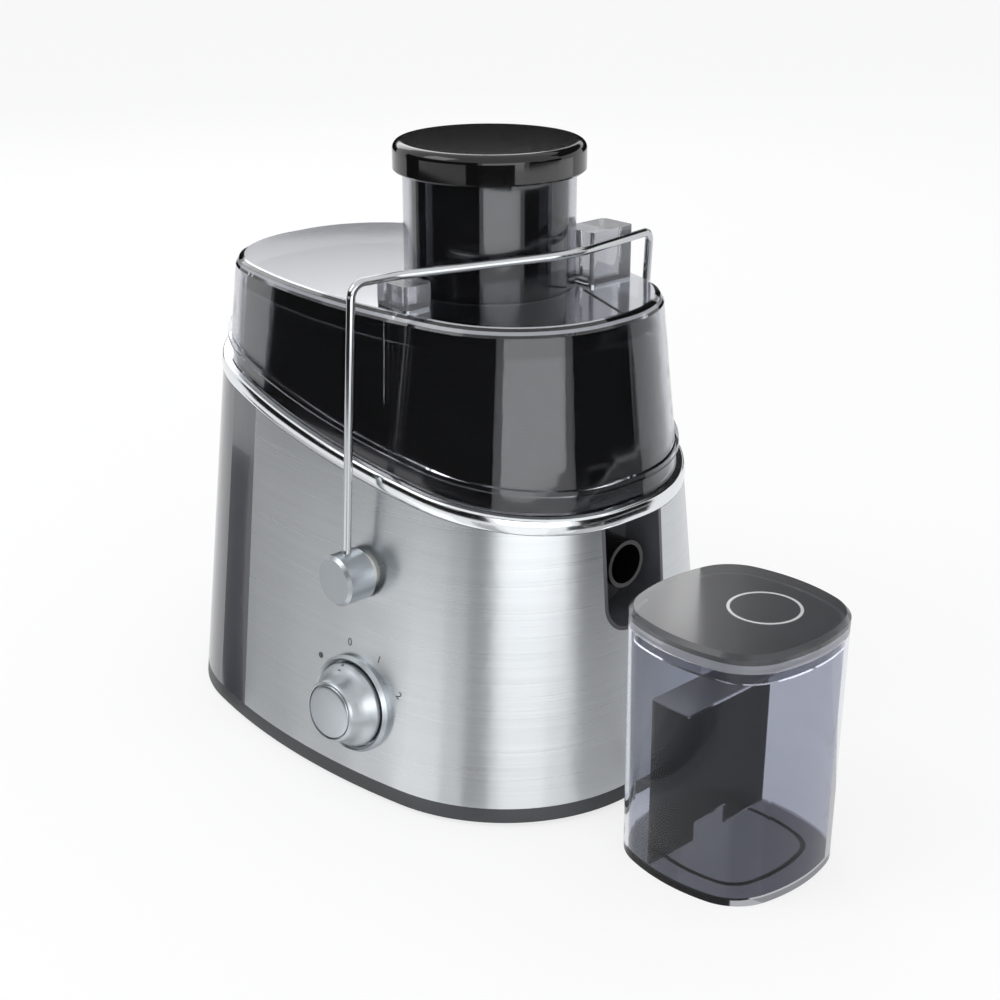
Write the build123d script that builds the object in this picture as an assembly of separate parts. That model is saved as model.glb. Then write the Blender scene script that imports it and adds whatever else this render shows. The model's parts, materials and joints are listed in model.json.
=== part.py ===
from build123d import *
import os
from math import asin, atan, cos, hypot, pi, radians, sin, sqrt, tan

# Driving sizes in millimetres; +X is the juice nose, -Y the front panel, +Z up

# Plan outlines: half length, half depth, side arc, end arc and corner arc radii
base_plan = [142.5, 101.5, 390.0, 520.0, 84.0]
waist_plan = [128.8, 83.6, 362.0, 470.0, 72.0]
rim_plan = [119.3, 73.1, 335.0, 420.0, 62.0]
waist_height = 166.5
rim_height = 231.0
trim_tilt = 9.1
trim_height = 7.5
trim_proud = 0.8
trim_wall = 6.4

# Base and outer shell
foot_height = 3.5
foot_radius = 11.0
foot_recess = 1.5
foot_x = 92.0
foot_y = 56.0
plate_thickness = 3.0
band_height = 7.0
band_wall = 3.2
housing_wall = 3.2
panel_thickness = 0.8
seam_x = -47.0
screw_x = 100.0
screw_y = 70.0
screw_boss_radius = 6.5
screw_boss_height = 22.0
screw_radius = 2.0
screw_length = 20.0
screw_head_radius = 4.0
screw_head_height = 1.6
vent_count = 7
vent_length = 46.0
vent_width = 4.0
vent_pitch = 9.0
vent_margin = 1.0

# Motor stack on the feed tube's axis
motor_x = 35.0
mount_boss_height = 5.0
mount_height = 6.0
mount_radius = 6.0
bracket_side = 72.0
bracket_corner = 9.0
bracket_thickness = 4.0
bolt_offset = 29.0
bolt_radius = 2.5
bolt_head_radius = 4.6
bolt_head_height = 3.0
bearing_radius = 9.5
bearing_height = 7.0
shaft_radius = 4.0
shaft_clearance = 0.05
brush_space = 22.0
brush_width = 10.0
brush_length = 14.0
brush_height = 13.0
commutator_radius = 11.0
commutator_gap = 1.0
rotor_radius = 20.0
air_gap = 0.6
coil_height = 7.0
coil_wall = 11.0
coil_space = 10.0
coil_gap = 1.0
fan_radius = 30.0
fan_height = 8.0
fan_disc = 1.4
fan_hub_radius = 9.0
fan_blades = 9
fan_gap = 1.0

# Deck, juice collector and pulp container
deck_drop = 66.5
deck_thickness = 3.0
deck_gap = 2.0
collector_wall = 2.5
collector_gap = 1.5
collector_drop = 14.0
collector_shaft_hole = 7.0
partition_x = -31.0
pulp_rise = 6.5
pulp_wall = 2.0
pulp_gap = 1.0
coupling_gap = 1.5
coupling_radius = 13.0
coupling_height = 9.0
coupling_teeth = 6
groove_width = 3.0
groove_depth = 2.5
basket_floor_radius = 47.0
basket_top_radius = 55.0
basket_height = 52.0
basket_wall = 1.2
basket_rim = 2.4
basket_slots = 24
basket_slot_width = 3.0
basket_slot_rows = 3
basket_slot_share = 0.62
basket_slot_cut = 9.0
grater_thickness = 1.6
grater_margin = 2.0
tooth_rings = [14.0, 24.0, 34.0]
tooth_arc = 9.0
tooth_size = 2.4

# Spout notch in the nose
notch_half_width = 17.8
notch_drop = 78.0
notch_corner = 12.0
notch_depth = 25.0
liner_wall = 2.0
spout_radius = 11.5
spout_wall = 2.0
spout_reach = 17.0
fit_gap = 0.3

# Clear lid, feed tube and pusher
lid_step = 3.0
lid_wall = 2.5
lid_top = 3.0
lid_round = 4.0
lid_shoulder = 1.3
flange_rise = 9.0
flange_height = 2.6
flange_proud = 1.8
tube_radius = 40.5
tube_wall = 3.0
tube_rise = 53.5
tube_gap = 5.0
pusher_radius = 31.0
pusher_wall = 2.5
pusher_rib_gap = 0.6
pusher_rib_width = 3.0
pusher_ribs = 4
pusher_gap = 4.0
cap_radius = 45.0
cap_height = 13.8
cap_round = 4.0
cap_chamfer = 1.0
rear_lug = [56.0, 27.0, 20.0, 28.0]
rear_lug_rise = 26.0
front_lug = [30.0, -66.0, 22.0, 16.0]
lug_corner = 3.0
lug_bail_gap = 2.0

# Bail and its pivots
bail_x = 42.0
bail_drop = 56.5
wire_radius = 2.0
button_radius = 12.2
button_length = 15.0
button_gap = 0.8
button_chamfer = 1.5
pin_radius = 4.0
pin_reach = 2.0
bush_radius = 5.8
bush_flange_radius = 9.0
bail_rise = 16.0
bail_pitch = 8.3
bail_corner_y = 88.5
bail_bend = 7.0
bail_run = [[46.0, -64.0], [90.0, 1.0], [75.0, 67.0]]
bail_run_bends = [24.0, 34.0, 7.0]

# Speed knob
knob_x = 41.6
knob_z = 43.9
bezel_radius = 23.8
bezel_width = 2.6
bezel_height = 4.0
bezel_fall = 1.0
knob_radius = 20.4
knob_nose_radius = 14.6
knob_lift = 0.8
knob_skirt = 5.0
knob_shoulder = 8.0
knob_shoulder_radius = 17.8
knob_edge = 1.0
knob_length = 17.0
face_radius = 13.2
face_recess = 1.2
face_dome = 1.4
face_dome_steps = [[1.0, -0.14], [0.8, 0.4], [0.45, 0.85]]
pointer_width = 1.6
pointer_depth = 0.5
spindle_radius = 3.0
spindle_length = 11.0
switch_side = 28.0
switch_depth = 17.0
switch_floor = 3.0
switch_corner = 3.0

# Interlock switch and cord gland
interlock_size = [20.0, 12.0, 15.0]
interlock_corner = 2.0
interlock_y = -62.0
gland_x = 8.0
gland_z = 24.0
gland_bore = 3.6
gland_sleeve = 6.4
gland_flange = 9.5
gland_height = 3.5
gland_nut_height = 4.0

# Juice jug
jug_x = 200.0
jug_y = -6.5
jug_half_base = 42.4
jug_half_top = 43.2
jug_side_arc = 84.0
jug_corner = 25.0
jug_height = 112.0
jug_wall = 2.0
jug_floor = 3.0
jug_inlet_width = 34.0
jug_inlet_depth = 24.0
jug_inlet_corner = 10.0
jug_lid_height = 8.0
jug_lid_bevel = 2.0
jug_lid_plug = 6.0
jug_lid_gap = 0.3
ring_radius = 16.5
ring_width = 1.4
ring_depth = 0.6
ring_offset = [7.9, 7.3]
separator_x = -12.0
separator_wall = 1.6
separator_top = 86.0
separator_flange = 20.0
separator_notch_width = 22.0
separator_notch_height = 10.0

# Levels and places that follow from the driving sizes
far = 800.0
overrun = 1.0
cut_margin = 5.0
plate_bottom = foot_height - foot_recess
plate_top = plate_bottom + plate_thickness
band_top = plate_bottom + band_height
boss_top = band_top + screw_boss_height
head_top = plate_bottom + screw_head_height
shank_top = head_top + screw_length
mount_seat = plate_top + mount_boss_height
bracket_low = mount_seat + mount_height
bracket_low_top = bracket_low + bracket_thickness
stator_low = bracket_low_top + brush_space
deck_low = waist_height - deck_drop
deck_high = deck_low + deck_thickness
fan_high = deck_low - deck_gap
fan_low = fan_high - fan_height
bracket_high = fan_low - fan_gap - bearing_height
bracket_high_top = bracket_high + bracket_thickness
stator_high = bracket_high - coil_space
floor_high = deck_high + collector_wall
coupling_low = floor_high + coupling_gap
coupling_high = coupling_low + coupling_height
basket_high = coupling_high + basket_height
grater_high = coupling_high + basket_wall + grater_thickness
tube_low = grater_high + tooth_size + tube_gap
tube_top = rim_height + tube_rise
pusher_low = tube_low + pusher_gap
collector_top = rim_height - collector_drop
pulp_top = waist_height + pulp_rise
notch_bottom = waist_height - notch_drop
spout_z = floor_high + spout_radius - spout_wall
bail_z = waist_height - bail_drop
bail_top = rim_height + bail_rise
rear_lug_top = rim_height + rear_lug_rise
front_lug_top = bail_top - wire_radius - lug_bail_gap
cap_low = tube_top + fit_gap
collector_inset = lid_step + lid_wall + collector_gap
knob_tilt = atan((base_plan[1] - waist_plan[1]) / waist_height)
low_center = (Align.CENTER, Align.CENTER, Align.MIN)
high_center = (Align.CENTER, Align.CENTER, Align.MAX)


def mix(low, high, share):
    return [a + (b - a) * share for a, b in zip(low, high)]


def oval(sizes, height):
    # closed outline of side, end and corner arcs, all tangent
    half_length, half_depth, side, end, corner = sizes
    side_y = half_depth - side
    end_x = half_length - end
    span = hypot(end_x, side_y)
    along = ((side - corner) ** 2 - (end - corner) ** 2 + span ** 2) / (2 * span)
    across = sqrt((side - corner) ** 2 - along ** 2)
    unit_x = end_x / span
    unit_y = -side_y / span
    corner_x = along * unit_x + across * unit_y
    corner_y = side_y + along * unit_y - across * unit_x
    if corner_x < 0:
        corner_x = along * unit_x - across * unit_y
        corner_y = side_y + along * unit_y + across * unit_x
    to_side = hypot(corner_x, corner_y - side_y)
    to_end = hypot(corner_x - end_x, corner_y)
    side_join = (corner_x * side / to_side, side_y + (corner_y - side_y) * side / to_side)
    end_join = (end_x + (corner_x - end_x) * end / to_end, corner_y * end / to_end)
    bulge_x = (side_join[0] + end_join[0]) / 2 - corner_x
    bulge_y = (side_join[1] + end_join[1]) / 2 - corner_y
    bulge = corner / hypot(bulge_x, bulge_y)
    corner_mid = (corner_x + bulge_x * bulge, corner_y + bulge_y * bulge)
    edges = []
    for turn_x, turn_y in ((1, 1), (1, -1), (-1, -1), (-1, 1)):
        place = [(p[0] * turn_x, p[1] * turn_y, height) for p in (side_join, corner_mid, end_join)]
        edges.append(ThreePointArc(*place))
    for turn in (1, -1):
        left = (-side_join[0], side_join[1] * turn, height)
        right = (side_join[0], side_join[1] * turn, height)
        edges.append(ThreePointArc(left, (0, half_depth * turn, height), right))
        low = (end_join[0] * turn, -end_join[1], height)
        high = (end_join[0] * turn, end_join[1], height)
        edges.append(ThreePointArc(low, (half_length * turn, 0, height), high))
    return make_face(edges)


def body_sizes(height, inset):
    return [size - inset for size in mix(base_plan, waist_plan, height / waist_height)]


def lid_sizes(height, inset):
    share = (height - waist_height) / (rim_height - waist_height)
    skirt = [size - lid_step for size in waist_plan]
    return [size - inset for size in mix(skirt, rim_plan, share)]


def body_solid(low, high, inset):
    faces = [oval(body_sizes(height, inset), height) for height in (low, high)]
    return loft(faces, ruled=True)


def lid_solid(low, high, inset):
    faces = [oval(lid_sizes(height, inset), height) for height in (low, high)]
    return loft(faces, ruled=True)


def under_trim(offset):
    # everything below the tilted parting plane, moved up by offset
    return Pos(0, 0, waist_height + offset) * Rot(0, trim_tilt, 0) * Box(far, far, far, align=high_center)


def panel_y(x, height, inset=0.0):
    sizes = body_sizes(height, inset)
    return sizes[1] - sizes[2] + sqrt(sizes[2] ** 2 - x ** 2)


def post(x, y, low, high, radius):
    return Pos(x, y, low) * Cylinder(radius, high - low, align=low_center)


def ring(x, y, low, high, outer, inner):
    return post(x, y, low, high, outer) - post(x, y, low - overrun, high + overrun, inner)


def block(low, high):
    size = [b - a for a, b in zip(low, high)]
    return Pos(*low) * Box(*size, align=(Align.MIN, Align.MIN, Align.MIN))


def rod_y(x, z, start, end, radius):
    # round bar along Y from start to end
    low = min(start, end)
    return Pos(x, low, z) * Rot(-90, 0, 0) * Cylinder(radius, abs(end - start), align=low_center)


def rod_x(y, z, start, end, radius):
    return Pos(start, y, z) * Rot(0, 90, 0) * Cylinder(radius, end - start, align=low_center)


def four(x, y, make):
    return Part() + [make(sx * x, sy * y) for sx in (1, -1) for sy in (1, -1)]


def save(name, shape):
    nodes[name] = shape


def notch_profile(grow):
    # block with a rounded foot, deep enough to reach from the recess back to past the nose
    half = notch_half_width + grow
    low = notch_bottom - grow
    deep = body_sizes(notch_bottom, 0)[0] - notch_depth - grow
    shape = block((deep, -half, low), (base_plan[0] + cut_margin, half, waist_height))
    edges = shape.edges().filter_by(Axis.X).group_by(Axis.Z)[0]
    return fillet(edges, notch_corner + grow)


nodes = {}
trim_low = -trim_height
trim_start = waist_height / 2
shell_top = waist_height + base_plan[0] * tan(radians(trim_tilt)) + cut_margin
liner_outer = notch_profile(liner_wall)
liner_hole = notch_profile(liner_wall + fit_gap)
knob_angle = asin(knob_x / body_sizes(knob_z, 0)[2])
knob_plane = Plane(
    origin=(knob_x, -panel_y(knob_x, knob_z), knob_z),
    x_dir=(cos(knob_angle), sin(knob_angle), 0),
    z_dir=(sin(knob_angle) * cos(knob_tilt), -cos(knob_angle) * cos(knob_tilt), sin(knob_tilt)),
)
pivot_face = panel_y(bail_x, bail_z - button_radius) + button_gap
pivot_end = panel_y(bail_x, bail_z, housing_wall) - pin_reach


def make_base():
    plate = body_solid(plate_bottom, band_top, 0)
    plate -= body_solid(plate_top, band_top + overrun, band_wall)
    plate += four(bolt_offset, bolt_offset,
                  lambda x, y: post(motor_x + x, y, plate_bottom, mount_seat, mount_radius))
    pads = four(screw_x, screw_y, lambda x, y: post(x, y, plate_bottom, band_top, screw_boss_radius))
    plate += pads & body_solid(plate_bottom, band_top, 0)
    plate -= four(foot_x, foot_y, lambda x, y: post(x, y, 0, foot_height, foot_radius + fit_gap))
    plate -= four(screw_x, screw_y, lambda x, y: post(x, y, 0, far, screw_radius + fit_gap))
    plate -= four(screw_x, screw_y, lambda x, y: post(x, y, 0, head_top, screw_head_radius + fit_gap))
    vent_keep = four(bolt_offset, bolt_offset,
                     lambda x, y: post(motor_x + x, y, 0, far, mount_radius + vent_margin))
    for index in range(vent_count):
        y = (index - (vent_count - 1) / 2) * vent_pitch
        half = vent_length / 2
        low = (motor_x - half, y - vent_width / 2, 0)
        vent = block(low, (motor_x + half, y + vent_width / 2, plate_top + overrun))
        plate -= vent - vent_keep
    save("base_plate", plate)
    save("rubber_feet", four(foot_x, foot_y, lambda x, y: post(x, y, 0, foot_height, foot_radius)))
    screws = four(screw_x, screw_y, lambda x, y: post(x, y, plate_bottom, head_top, screw_head_radius)
                  + post(x, y, head_top, shank_top, screw_radius))
    save("base_screws", screws)


def make_shell():
    below = under_trim(trim_low)
    outer = body_solid(band_top, shell_top, 0)
    skin = outer - body_solid(band_top, shell_top, panel_thickness)
    panel = skin & below & block((seam_x, -far, 0), (far, far, far))
    shell = (outer - body_solid(band_top - overrun, shell_top + overrun, housing_wall)) & below
    bosses = four(screw_x, screw_y, lambda x, y: post(x, y, band_top, boss_top, screw_boss_radius))
    shell += bosses & body_solid(band_top, shell_top, panel_thickness)
    shell -= four(screw_x, screw_y, lambda x, y: post(x, y, 0, shank_top, screw_radius))
    shell -= panel
    spindle_hole = knob_plane * Cylinder(spindle_radius + fit_gap, spindle_length)
    pivot_hole = rod_y(bail_x, bail_z, -far, far, bush_radius)
    gland_hole = rod_y(gland_x, gland_z, 0, far, gland_sleeve)
    for hole in (liner_outer, spindle_hole, pivot_hole, gland_hole):
        shell -= hole
        panel -= hole
    save("motor_housing", shell)
    save("front_panel", panel)
    trim = body_solid(trim_start, shell_top, -trim_proud)
    trim -= body_solid(trim_start - overrun, shell_top + overrun, trim_wall)
    trim = (trim & under_trim(0)) - below
    save("trim_ring", trim)
    liner = liner_outer - notch_profile(0)
    liner = liner & body_solid(plate_top, shell_top, 0) & below
    liner -= rod_x(0, spout_z, 0, base_plan[0], spout_radius + fit_gap)
    save("notch_liner", liner)


def make_deck():
    deck = body_solid(deck_low, deck_high, housing_wall + fit_gap)
    deck = deck & block((partition_x, -far, 0), (far, far, far))
    deck -= post(motor_x, 0, 0, far, collector_shaft_hole)
    deck -= liner_hole
    save("deck", deck)
    length, width, height = interlock_size
    interlock = block((bail_x - length / 2, interlock_y - width / 2, deck_low - height),
                      (bail_x + length / 2, interlock_y + width / 2, deck_low))
    save("interlock_switch", fillet(interlock.edges().filter_by(Axis.Z), interlock_corner))


def collector_form(low, extra, top):
    sections = [oval(body_sizes(low, collector_inset + extra), low),
                oval(body_sizes(waist_height, collector_inset + extra), waist_height),
                oval(lid_sizes(top, lid_wall + collector_gap + extra), top)]
    return loft(sections, ruled=True)


def make_collector():
    form = collector_form(deck_high, 0, collector_top)
    tub = form - collector_form(floor_high, collector_wall, collector_top + overrun)
    tub -= block((-far, -far, 0), (partition_x, far, pulp_top))
    wall = block((partition_x, -far, deck_high), (partition_x + collector_wall, far, pulp_top))
    tub += wall & form
    tub += notch_profile(liner_wall + fit_gap + collector_wall) & form
    tub -= liner_hole
    liner_back = body_sizes(notch_bottom, 0)[0] - notch_depth - liner_wall
    spout_tip = liner_back + liner_wall + spout_reach
    tub += rod_x(0, spout_z, liner_back - collector_wall - fit_gap, spout_tip, spout_radius)
    tub -= rod_x(0, spout_z, liner_back - cut_margin - collector_wall, spout_tip + overrun,
                 spout_radius - spout_wall)
    tub -= post(motor_x, 0, 0, floor_high + overrun, collector_shaft_hole)
    save("juice_collector", tub)
    end = partition_x - pulp_gap
    bin_outer = body_solid(boss_top, pulp_top - pulp_gap, collector_inset)
    bin_outer = bin_outer & block((-far, -far, 0), (end, far, far))
    bin_inner = body_solid(boss_top + pulp_wall, pulp_top, collector_inset + pulp_wall)
    bin_inner = bin_inner & block((-far, -far, 0), (end - pulp_wall, far, far))
    save("pulp_container", bin_outer - bin_inner)


def square_plate(low, high):
    plate = Pos(motor_x, 0, low) * Box(bracket_side, bracket_side, high - low, align=low_center)
    return fillet(plate.edges().filter_by(Axis.Z), bracket_corner)


def make_motor():
    bolts = [(motor_x + sx * bolt_offset, sy * bolt_offset) for sx in (1, -1) for sy in (1, -1)]
    lower = square_plate(bracket_low, bracket_low_top)
    lower -= post(motor_x, 0, 0, far, bearing_radius)
    upper = square_plate(bracket_high, bracket_high_top)
    upper -= post(motor_x, 0, 0, far, bearing_radius)
    stator = square_plate(stator_low, stator_high)
    stator -= post(motor_x, 0, 0, far, rotor_radius + air_gap)
    rods = Part()
    pads = Part()
    for x, y in bolts:
        hole = post(x, y, 0, far, bolt_radius + shaft_clearance)
        lower -= hole
        upper -= hole
        stator -= hole
        rods += post(x, y, mount_seat, bracket_high_top, bolt_radius)
        rods += post(x, y, bracket_high_top, bracket_high_top + bolt_head_height, bolt_head_radius)
        pads += ring(x, y, mount_seat, bracket_low, mount_radius, bolt_radius + shaft_clearance)
    save("lower_bracket", lower)
    save("upper_bracket", upper)
    save("stator", stator)
    save("motor_bolts", rods)
    save("rubber_mounts", pads)
    bore = shaft_radius + shaft_clearance
    bearing_levels = (bracket_low, bracket_high)
    save("bearings", Part() + [ring(motor_x, 0, low, low + bearing_height, bearing_radius, bore)
                               for low in bearing_levels])
    inner = rotor_radius + air_gap + coil_gap
    coil_levels = (stator_low - coil_height, stator_high)
    save("field_coils", Part() + [ring(motor_x, 0, low, low + coil_height, inner + coil_wall, inner)
                                  for low in coil_levels])
    start = commutator_radius + fit_gap
    half = brush_width / 2
    brush = block((motor_x - half, start, bracket_low_top),
                  (motor_x + half, start + brush_length, bracket_low_top + brush_height))
    save("brush_holders", Part() + [brush, mirror(brush, Plane.XZ)])


def make_rotor():
    save("motor_shaft", post(motor_x, 0, bracket_low, coupling_high - coupling_gap, shaft_radius))
    save("rotor_core", ring(motor_x, 0, stator_low, stator_high, rotor_radius, shaft_radius))
    commutator_low = bracket_low + bearing_height + commutator_gap
    save("commutator", ring(motor_x, 0, commutator_low, bracket_low_top + brush_height,
                            commutator_radius, shaft_radius))
    fan = ring(motor_x, 0, fan_low, fan_high, fan_hub_radius, shaft_radius)
    fan += ring(motor_x, 0, fan_low, fan_low + fan_disc, fan_radius, shaft_radius)
    blade = block((fan_hub_radius - overrun, -fan_disc / 2, fan_low), (fan_radius, fan_disc / 2, fan_high))
    for index in range(fan_blades):
        fan += Pos(motor_x, 0, 0) * Rot(0, 0, index * 360 / fan_blades) * blade
    save("cooling_fan", fan)
    coupling = post(motor_x, 0, coupling_low, coupling_high, coupling_radius)
    half = groove_width / 2
    groove = block((coupling_radius - groove_depth, -half, coupling_low - overrun),
                   (coupling_radius + overrun, half, coupling_high + overrun))
    for index in range(coupling_teeth):
        coupling -= Pos(motor_x, 0, 0) * Rot(0, 0, index * 360 / coupling_teeth) * groove
    coupling -= post(motor_x, 0, 0, coupling_high - coupling_gap, shaft_radius)
    save("drive_coupling", coupling)


def cone_part(low, high, low_radius, high_radius):
    return Pos(motor_x, 0, low) * Cone(low_radius, high_radius, high - low, align=low_center)


def make_basket():
    low = coupling_high
    basket = cone_part(low, basket_high, basket_floor_radius, basket_top_radius)
    basket -= cone_part(low + basket_wall, basket_high, basket_floor_radius - basket_wall,
                        basket_top_radius - basket_wall)
    rim = ring(motor_x, 0, basket_high - basket_rim, basket_high, basket_top_radius + basket_rim,
               basket_top_radius - basket_wall)
    basket += rim
    row_space = (basket_height - basket_rim) / basket_slot_rows
    slot_height = row_space * basket_slot_share
    for row in range(basket_slot_rows):
        slot_low = low + row_space * (row + 0.5) - slot_height / 2
        slot = block((basket_floor_radius - basket_slot_cut, -basket_slot_width / 2, slot_low),
                     (basket_top_radius + overrun, basket_slot_width / 2, slot_low + slot_height))
        slots = [Pos(motor_x, 0, 0) * Rot(0, 0, (index + row / 2) * 360 / basket_slots) * slot
                 for index in range(basket_slots)]
        basket -= slots
    save("filter_basket", basket)
    disc_low = low + basket_wall
    grater = post(motor_x, 0, disc_low, grater_high, basket_floor_radius - basket_wall - grater_margin)
    for radius in tooth_rings:
        count = round(2 * pi * radius / tooth_arc)
        tooth = Pos(radius, 0, grater_high) * Box(tooth_size, tooth_size / 2, tooth_size, align=low_center)
        grater += [Pos(motor_x, 0, 0) * Rot(0, 0, index * 360 / count) * tooth for index in range(count)]
    save("grater_disc", grater)


def make_lid():
    low = waist_height - base_plan[0] * tan(radians(trim_tilt)) - cut_margin
    level = rim_height - lid_round
    skirt = loft([oval(lid_sizes(low, 0), low), oval(lid_sizes(level, 0), level),
                  oval(lid_sizes(rim_height, lid_shoulder), rim_height - lid_shoulder),
                  oval(lid_sizes(rim_height, lid_round), rim_height)], ruled=True)
    flange = lid_solid(low, level, -flange_proud) & under_trim(flange_rise + flange_height)
    flange -= under_trim(flange_rise)
    lid = skirt + flange
    lid -= lid_solid(low - overrun, rim_height - lid_top, lid_wall)
    lid -= under_trim(fit_gap)
    for place, top in ((rear_lug, rear_lug_top), (front_lug, front_lug_top)):
        x, y, length, width = place
        lug = block((x, y, rim_height - lid_top / 2), (x + length, y + width, top))
        lid += fillet(lug.edges().filter_by(Axis.Z), lug_corner)
    lid -= post(motor_x, 0, tube_low, tube_top, tube_radius)
    save("main_lid", lid)
    save("feed_tube", ring(motor_x, 0, tube_low, tube_top, tube_radius, tube_radius - tube_wall))


def make_pusher():
    body = post(motor_x, 0, pusher_low, cap_low, pusher_radius)
    reach = tube_radius - tube_wall - pusher_rib_gap
    half = pusher_rib_width / 2
    rib = block((pusher_radius - overrun, -half, pusher_low), (reach, half, cap_low))
    for index in range(pusher_ribs):
        body += Pos(motor_x, 0, 0) * Rot(0, 0, (index + 0.5) * 360 / pusher_ribs) * rib
    body -= post(motor_x, 0, pusher_low + pusher_wall, cap_low + overrun, pusher_radius - pusher_wall)
    save("pusher_body", body)
    cap = post(motor_x, 0, cap_low, cap_low + cap_height, cap_radius)
    cap = fillet(cap.edges().group_by(Axis.Z)[-1], cap_round)
    cap = chamfer(cap.edges().group_by(Axis.Z)[0], cap_chamfer)
    save("pusher_cap", cap)


def bent_path(points, bends):
    # straight runs joined by tangent arcs
    edges = []
    start = Vector(*points[0])
    for before, corner, after, bend in zip(points, points[1:], points[2:], bends):
        corner = Vector(*corner)
        back = (Vector(*before) - corner).normalized()
        ahead = (Vector(*after) - corner).normalized()
        half = radians(back.get_angle(ahead)) / 2
        enter = corner + back * (bend / tan(half))
        leave = corner + ahead * (bend / tan(half))
        middle = corner + (back + ahead).normalized() * (bend / sin(half) - bend)
        edges.append(Line(start, enter))
        edges.append(ThreePointArc(enter, middle, leave))
        start = leave
    edges.append(Line(start, Vector(*points[-1])))
    return edges


def make_bail():
    leg_y = pivot_face + button_length / 2
    slope = tan(radians(bail_pitch))
    top = [(x, y, bail_top + (x - bail_x) * slope) for x, y in bail_run]
    foot = (bail_x, -leg_y, bail_z)
    points = [foot, (bail_x, -bail_corner_y, bail_top), *top, (bail_x, leg_y, bail_z)]
    edges = bent_path(points, [bail_bend, *bail_run_bends])
    start = Vector(*points[0])
    heading = Vector(*points[1]) - start
    section = Plane(origin=start, z_dir=heading) * Circle(wire_radius)
    wire = sweep(section, path=Wire(edges))
    save("bail_wire", wire)
    lengths = sum(edge.length for edge in edges)
    print("bail wire volume over section times length:", wire.volume / (lengths * pi * wire_radius ** 2))
    socket = Part()
    for first, second in ((points[0], points[1]), (points[-1], points[-2])):
        heading = Vector(*second) - Vector(*first)
        place = Plane(origin=Vector(*first), z_dir=heading)
        socket += place * Cylinder(wire_radius + shaft_clearance, 2 * button_radius, align=low_center)
        socket += place * Sphere(wire_radius + 2 * shaft_clearance)
    for name, side in (("front", -1), ("rear", 1)):
        button_end = side * (pivot_face + button_length)
        button = rod_y(bail_x, bail_z, side * pivot_face, button_end, button_radius)
        outer_edges = button.edges().filter_by(GeomType.CIRCLE).sort_by(Axis.Y)
        button = chamfer(outer_edges[0 if side < 0 else -1], button_chamfer)
        inner = side * pivot_end
        outer = side * (pivot_face + overrun)
        collar_end = side * (pivot_face - fit_gap)
        button += rod_y(bail_x, bail_z, inner, outer, pin_radius)
        save("pivot_button_" + name, button - socket)
        bush = rod_y(bail_x, bail_z, inner, collar_end, bush_radius - shaft_clearance)
        collar = rod_y(bail_x, bail_z, inner, collar_end, bush_flange_radius)
        bush += collar - body_solid(plate_top, waist_height, 0)
        bush -= rod_y(bail_x, bail_z, inner - side * overrun, outer, pin_radius + shaft_clearance)
        save("pivot_bush_" + name, bush)


def turned(points):
    # solid of revolution about local Z from radius and height pairs
    outline = make_face(Polyline(*[(r, 0, z) for r, z in points], close=True))
    return revolve(outline, Axis.Z, 360)


def make_knob():
    tower = body_solid(plate_top, waist_height, 0)
    bezel_foot = 2 * bezel_height
    inner = bezel_radius - bezel_width
    bezel = turned([(inner, -bezel_foot), (bezel_radius, -bezel_foot), (bezel_radius, bezel_height / 2),
                    (bezel_radius - bezel_width / 2, bezel_height), (inner, bezel_height - bezel_fall)])
    save("knob_bezel", knob_plane * bezel - tower)
    nose = knob_length - knob_edge
    face_low = knob_length - face_recess
    body = turned([(0, knob_lift), (knob_radius, knob_lift), (knob_radius, knob_skirt),
                   (knob_shoulder_radius, knob_shoulder), (knob_nose_radius, nose),
                   (knob_nose_radius - knob_edge, knob_length), (face_radius, knob_length),
                   (face_radius, face_low), (0, face_low)])
    body -= Cylinder(spindle_radius, spindle_length, align=low_center)
    half = pointer_width / 2
    pointer = block((-half, knob_shoulder_radius, knob_lift + overrun), (half, knob_radius + overrun, far))
    pointer_floor = body & Pos(0, -pointer_depth, -pointer_depth) * body
    mark = (body & pointer) - pointer_floor
    save("knob_body", knob_plane * (body - mark))
    save("knob_pointer", knob_plane * mark)
    lip = face_radius - fit_gap
    dome = [(lip * r, knob_length + face_dome * rise) for r, rise in face_dome_steps]
    face = turned([(0, face_low), (lip, face_low), *dome, (0, knob_length + face_dome)])
    save("knob_face", knob_plane * face)
    depth = housing_wall + switch_depth
    spindle_low = switch_floor - depth
    spindle = Cylinder(spindle_radius, spindle_length - spindle_low, align=low_center)
    save("switch_spindle", knob_plane * Pos(0, 0, spindle_low) * spindle)
    switch = Pos(0, 0, -depth) * Box(switch_side, switch_side, depth, align=low_center)
    switch = fillet(switch.edges().filter_by(Axis.Z), switch_corner)
    bore = Cylinder(spindle_radius + shaft_clearance, far, align=low_center)
    switch -= Pos(0, 0, spindle_low - fit_gap) * bore
    inside = body_solid(plate_top, waist_height, housing_wall + shaft_clearance)
    save("rotary_switch", knob_plane * switch & inside)


def make_gland():
    wall_out = panel_y(gland_x, gland_z)
    wall_in = panel_y(gland_x, gland_z, housing_wall)
    end = wall_out + gland_height
    inner_end = wall_in - gland_nut_height
    tower = body_solid(plate_top, waist_height, 0)
    cavity = body_solid(plate_top, waist_height, housing_wall)
    gland = rod_y(gland_x, gland_z, inner_end, end, gland_sleeve - shaft_clearance)
    flange = rod_y(gland_x, gland_z, inner_end, end, gland_flange)
    gland += flange - tower
    gland += flange & cavity
    gland -= rod_y(gland_x, gland_z, inner_end - overrun, end + overrun, gland_bore)
    save("cord_gland", gland)


def jug_sizes(height, inset):
    half = jug_half_base + (jug_half_top - jug_half_base) * height / jug_height
    return [half - inset, half - inset, jug_side_arc - inset, jug_side_arc - inset, jug_corner - inset]


def jug_solid(low, high, inset):
    return loft([oval(jug_sizes(height, inset), height) for height in (low, high)], ruled=True)


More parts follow.
